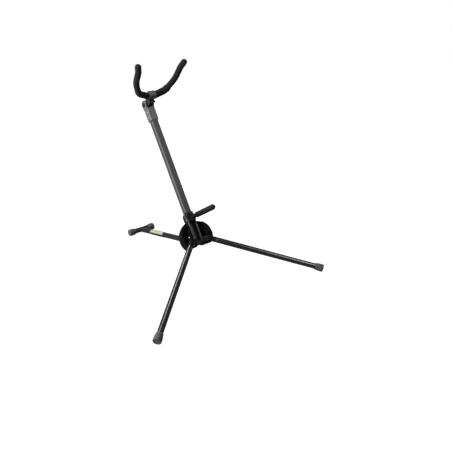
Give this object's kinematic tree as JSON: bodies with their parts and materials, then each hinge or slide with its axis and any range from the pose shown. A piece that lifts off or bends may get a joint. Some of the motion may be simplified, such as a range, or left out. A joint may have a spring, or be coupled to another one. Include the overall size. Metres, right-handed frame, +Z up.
{
  "type": "saxophone stand",
  "caption": "Folding tripod stand for an alto saxophone with a padded yoke, velvet bell pads and foam support pegs.",
  "frame": {"origin": "centre of the bounding box at floor level", "axes": "+Z up, +Y towards the rear leg, X across with the yoke arms; the player faces the stand from -Y"},
  "size_m": [0.4132, 0.41, 0.4113],
  "materials": {
    "column_paint": "satin dark grey enamel",
    "channel_metal": "satin mid grey",
    "sleeve_metal": "satin grey",
    "leg_paint": "gloss black",
    "black_plastic": "moulded black",
    "hardware": "zinc plated",
    "black_hardware": "blackened",
    "velvet": "black velvet",
    "foam": "black foam rubber",
    "rubber_tip": "dark grey rubber",
    "band_film": "plain pale yellow film"
  },
  "bodies": {
    "column": {"bell_pad_left": "velvet", "bell_pad_right": "velvet", "collar_screw": "black_hardware", "column_rivets": "hardware", "column_tube": "column_paint", "front_clevis_left": "black_hardware", "front_clevis_right": "black_hardware", "front_pivot_pin_left": "black_hardware", "front_pivot_pin_right": "black_hardware", "head_bolt": "black_hardware", "head_nut": "black_hardware", "head_sleeve": "sleeve_metal", "hub_bolt": "hardware", "hub_core": "black_plastic", "lower_channel": "channel_metal", "pad_core_left": "velvet", "pad_core_right": "velvet", "pad_screws": "hardware", "pad_strap": "channel_metal", "peg_collar": "black_plastic", "peg_foam_left": "foam", "peg_foam_right": "foam", "peg_rod_left": "black_hardware", "peg_rod_right": "black_hardware", "rear_clevis": "black_hardware", "rear_pivot_pin": "black_hardware"},
    "front_leg_left": {"front_leg_foot_left": "rubber_tip", "front_leg_knuckle_left": "black_hardware", "front_leg_rivet_left": "hardware", "front_leg_tube_left": "leg_paint"},
    "front_leg_right": {"front_leg_foot_right": "rubber_tip", "front_leg_knuckle_right": "black_hardware", "front_leg_rivet_right": "hardware", "front_leg_tube_right": "leg_paint"},
    "tilt_link": {"lever_pin": "hardware", "tilt_link": "black_plastic", "yoke_pin": "hardware"},
    "rear_leg": {"rear_leg_band": "band_film", "rear_leg_cap_left": "rubber_tip", "rear_leg_cap_right": "rubber_tip", "rear_leg_cross_bar": "leg_paint", "rear_leg_knuckle": "black_hardware", "rear_leg_rivet": "hardware", "rear_leg_tube": "leg_paint"},
    "release_lever": {"release_lever": "black_plastic"},
    "yoke": {"yoke_bracket": "sleeve_metal", "yoke_foam_left": "foam", "yoke_foam_right": "foam", "yoke_grip_left": "foam", "yoke_grip_right": "foam", "yoke_rod_left": "black_hardware", "yoke_rod_right": "black_hardware"}
  },
  "joints": [
    {"name": "fold_front_leg_left", "type": "hinge", "parent": "column", "child": "front_leg_left", "pos_m": [-0.02014, -0.04471, 0.07377], "axis": [-0.4483, 0.7419, -0.4986], "range_deg": [0, 124.8]},
    {"name": "fold_front_leg_right", "type": "hinge", "parent": "column", "child": "front_leg_right", "pos_m": [0.02014, -0.04471, 0.07377], "axis": [-0.4483, -0.7419, 0.4986], "range_deg": [0, 124.8]},
    {"name": "fold_rear_leg", "type": "hinge", "parent": "column", "child": "rear_leg", "pos_m": [0, -0.02203, 0.06119], "axis": [1, 0, 0], "range_deg": [0, 69.8]},
    {"name": "tilt_yoke_link", "type": "hinge", "parent": "column", "child": "tilt_link", "pos_m": [0, 0.13123, 0.31759], "axis": [-1, 0, 0], "range_deg": [0, 159.1]},
    {"name": "fold_yoke", "type": "hinge", "parent": "tilt_link", "child": "yoke", "pos_m": [0, 0.12201, 0.33067], "axis": [-1, 0, 0], "range_deg": [0, 90]},
    {"name": "press_release_lever", "type": "hinge", "parent": "tilt_link", "child": "release_lever", "pos_m": [0, 0.11624, 0.32513], "axis": [1, 0, 0], "range_deg": [0, 25], "stiffness_Nm_per_rad": 0.02, "springref_deg": -11.46}
  ]
}
